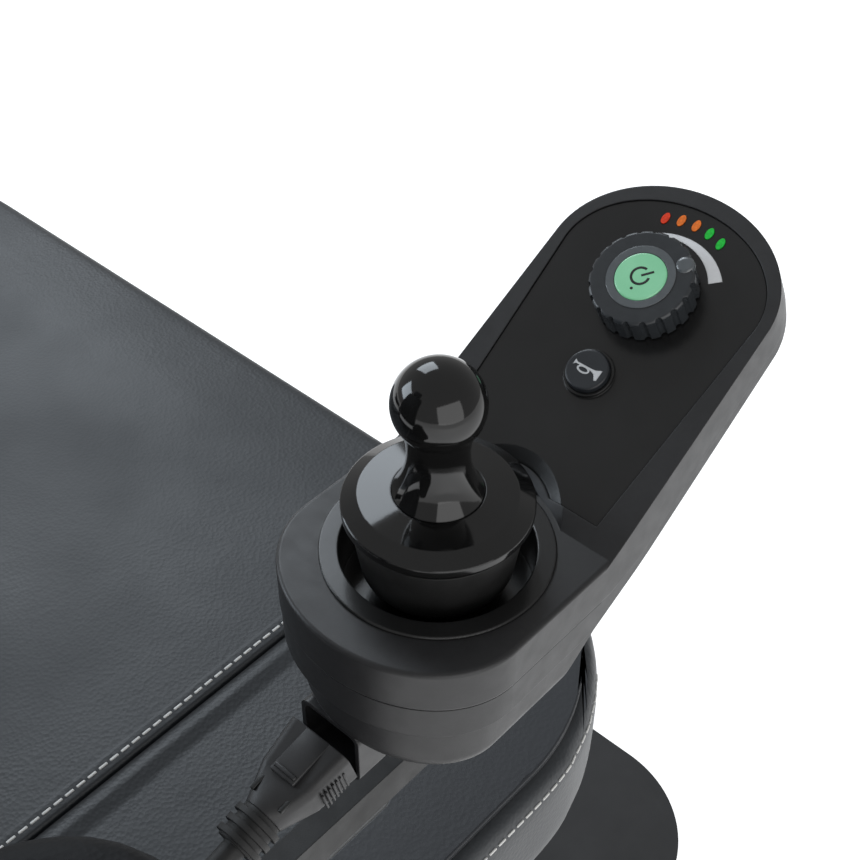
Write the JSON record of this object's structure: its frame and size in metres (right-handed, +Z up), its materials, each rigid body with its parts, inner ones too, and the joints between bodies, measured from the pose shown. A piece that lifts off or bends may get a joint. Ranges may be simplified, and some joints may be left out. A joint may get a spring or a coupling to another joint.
{
  "type": "power wheelchair",
  "caption": "Mid-wheel drive power wheelchair with a leather captain seat, flip-up armrests, a flip-up footplate and a joystick controller on the right armrest.",
  "frame": {"origin": "centre of the footprint, on the ground", "axes": "-Y is the way the chair faces, +Z is up, -X is the user's right"},
  "size_m": [0.623, 0.978, 1.2234],
  "materials": {
    "battery_grey": "moulded",
    "black_rubber": "matte",
    "black_steel": "black powder coat",
    "button_slate": "satin",
    "cast_aluminium": "cast, bead blasted",
    "chromed_post": "polished",
    "circuit_green": "solder mask",
    "footplate_grey": "matte dark grey",
    "gloss_black_plastic": "high gloss",
    "gloss_faceplate": "semi-gloss",
    "graphite_steel": "graphite powder coat",
    "grey_plastic": "moulded",
    "knob_black": "semi-gloss with grooves",
    "led_lens": "lit lenses in red, amber and green",
    "lever_red": "moulded",
    "lit_green": "lit translucent lens",
    "pad_polyurethane": "textured self-skinned foam",
    "pin_steel": "turned and zinc plated",
    "rim_grey": "silver-grey",
    "satin_black_plastic": "satin, fine moulded grain",
    "shell_plastic": "moulded",
    "shroud_plastic": "semi-gloss",
    "slate_leather": "fine grain synthetic leather",
    "tyre_black": "matte"
  },
  "bodies": {
    "base": {"armrest_posts": "black_steel", "backrest_brackets": "black_steel", "batteries": "battery_grey", "battery_shroud": "shroud_plastic", "chassis_bolts": "pin_steel", "chassis_frame": "graphite_steel", "drive_motors": "cast_aluminium", "footplate_bracket": "graphite_steel", "pivot_pins": "pin_steel", "power_module": "cast_aluminium", "seat_cushion": "slate_leather", "seat_frame": "black_steel", "seat_pan": "shell_plastic", "tip_wheel_arms": "graphite_steel"},
    "armrest_right": {"controller_upper_shell": "satin_black_plastic", "controller_lower_shell": "satin_black_plastic", "controller_faceplate": "gloss_faceplate", "joystick_bezel": "gloss_faceplate", "battery_gauge_lights": "led_lens", "controller_circuit_board": "circuit_green", "gimbal_housing": "grey_plastic", "controller_plug": "satin_black_plastic", "plug_strain_relief": "satin_black_plastic", "controller_cable": "black_rubber", "controller_mount": "black_steel", "armrest_tube_right": "black_steel", "armrest_pad_right": "pad_polyurethane"},
    "gimbal": {"gimbal_yoke": "grey_plastic"},
    "joystick": {"joystick_shaft": "pin_steel", "joystick_knob": "gloss_black_plastic", "joystick_disc": "gloss_black_plastic", "joystick_boot": "gloss_black_plastic"},
    "speed_knob": {"speed_knob": "knob_black"},
    "power_button": {"power_button": "lit_green"},
    "horn_button": {"horn_button": "button_slate"},
    "armrest_left": {"armrest_tube_left": "black_steel", "armrest_pad_left": "pad_polyurethane"},
    "backrest": {"backrest_cushion": "slate_leather", "backrest_shell": "shell_plastic", "backrest_hinges": "black_steel", "push_handles": "black_steel", "handle_grips": "black_rubber", "headrest_sleeve": "satin_black_plastic"},
    "headrest": {"headrest_posts": "chromed_post", "headrest_pad": "slate_leather"},
    "footplate": {"footplate": "footplate_grey"},
    "drive_wheel_right": {"drive_rim_right": "rim_grey", "drive_tyre_right": "tyre_black"},
    "drive_wheel_left": {"drive_rim_left": "rim_grey", "drive_tyre_left": "tyre_black"},
    "caster_fork_right": {"caster_fork_right": "graphite_steel"},
    "caster_fork_left": {"caster_fork_left": "graphite_steel"},
    "caster_wheel_right": {"caster_hub_right": "rim_grey", "caster_tyre_right": "tyre_black"},
    "caster_wheel_left": {"caster_hub_left": "rim_grey", "caster_tyre_left": "tyre_black"},
    "tip_wheel_right": {"tip_wheel_right": "tyre_black"},
    "tip_wheel_left": {"tip_wheel_left": "tyre_black"},
    "freewheel_lever_right": {"freewheel_lever_right": "lever_red"},
    "freewheel_lever_left": {"freewheel_lever_left": "lever_red"}
  },
  "joints": [
    {"name": "armrest_right_flip", "type": "hinge", "parent": "base", "child": "armrest_right", "pos_m": [-0.266, 0.238, 0.6], "axis": [-1, 0, 0], "range_deg": [0, 95]},
    {"name": "armrest_left_flip", "type": "hinge", "parent": "base", "child": "armrest_left", "pos_m": [0.266, 0.238, 0.6], "axis": [-1, 0, 0], "range_deg": [0, 95]},
    {"name": "joystick_fore_aft", "type": "hinge", "parent": "armrest_right", "child": "gimbal", "pos_m": [-0.266, -0.151, 0.667], "axis": [1, 0, 0], "range_deg": [-14, 14], "stiffness_Nm_per_rad": 0.35, "deforming": ["joystick_boot"]},
    {"name": "joystick_left_right", "type": "hinge", "parent": "gimbal", "child": "joystick", "pos_m": [-0.266, -0.151, 0.667], "axis": [0, 1, 0], "range_deg": [-14, 14], "stiffness_Nm_per_rad": 0.35, "deforming": ["joystick_boot"]},
    {"name": "speed_knob_turn", "type": "hinge", "parent": "armrest_right", "child": "speed_knob", "pos_m": [-0.266, -0.23835, 0.72667], "axis": [0, 0.4818, 0.8763], "range_deg": [-6, 90]},
    {"name": "power_button_press", "type": "slide", "parent": "speed_knob", "child": "power_button", "axis": [0, -0.4818, -0.8763], "range_m": [0, 0.001], "stiffness_N_per_m": 500},
    {"name": "horn_button_press", "type": "slide", "parent": "armrest_right", "child": "horn_button", "axis": [0, -0.4818, -0.8763], "range_m": [0, 0.001], "stiffness_N_per_m": 500},
    {"name": "backrest_fold", "type": "hinge", "parent": "base", "child": "backrest", "pos_m": [0, 0.215, 0.55], "axis": [1, 0, 0], "range_deg": [0, 65]},
    {"name": "headrest_height", "type": "slide", "parent": "backrest", "child": "headrest", "axis": [0, 0.1045, 0.9945], "range_m": [0, 0.06]},
    {"name": "footplate_flip", "type": "hinge", "parent": "base", "child": "footplate", "pos_m": [0, -0.326, 0.112], "axis": [-1, 0, 0], "range_deg": [0, 85]},
    {"name": "drive_wheel_right_spin", "type": "hinge", "parent": "base", "child": "drive_wheel_right", "pos_m": [-0.27, -0.061, 0.165], "axis": [1, 0, 0], "continuous": true},
    {"name": "caster_right_swivel", "type": "hinge", "parent": "base", "child": "caster_fork_right", "pos_m": [-0.19, 0.374, 0.217], "axis": [0, 0, 1], "continuous": true},
    {"name": "caster_wheel_right_spin", "type": "hinge", "parent": "caster_fork_right", "child": "caster_wheel_right", "pos_m": [-0.19, 0.414, 0.075], "axis": [1, 0, 0], "continuous": true},
    {"name": "tip_wheel_right_spin", "type": "hinge", "parent": "base", "child": "tip_wheel_right", "pos_m": [-0.172, -0.255, 0.05], "axis": [1, 0, 0], "continuous": true},
    {"name": "freewheel_lever_right_turn", "type": "hinge", "parent": "base", "child": "freewheel_lever_right", "pos_m": [-0.188, 0.129, 0.215], "axis": [0, 0, 1], "range_deg": [0, 45]},
    {"name": "drive_wheel_left_spin", "type": "hinge", "parent": "base", "child": "drive_wheel_left", "pos_m": [0.27, -0.061, 0.165], "axis": [1, 0, 0], "continuous": true},
    {"name": "caster_left_swivel", "type": "hinge", "parent": "base", "child": "caster_fork_left", "pos_m": [0.19, 0.374, 0.217], "axis": [0, 0, 1], "continuous": true},
    {"name": "caster_wheel_left_spin", "type": "hinge", "parent": "caster_fork_left", "child": "caster_wheel_left", "pos_m": [0.19, 0.414, 0.075], "axis": [1, 0, 0], "continuous": true},
    {"name": "tip_wheel_left_spin", "type": "hinge", "parent": "base", "child": "tip_wheel_left", "pos_m": [0.172, -0.255, 0.05], "axis": [1, 0, 0], "continuous": true},
    {"name": "freewheel_lever_left_turn", "type": "hinge", "parent": "base", "child": "freewheel_lever_left", "pos_m": [0.188, 0.129, 0.215], "axis": [0, 0, 1], "range_deg": [0, 45]}
  ]
}
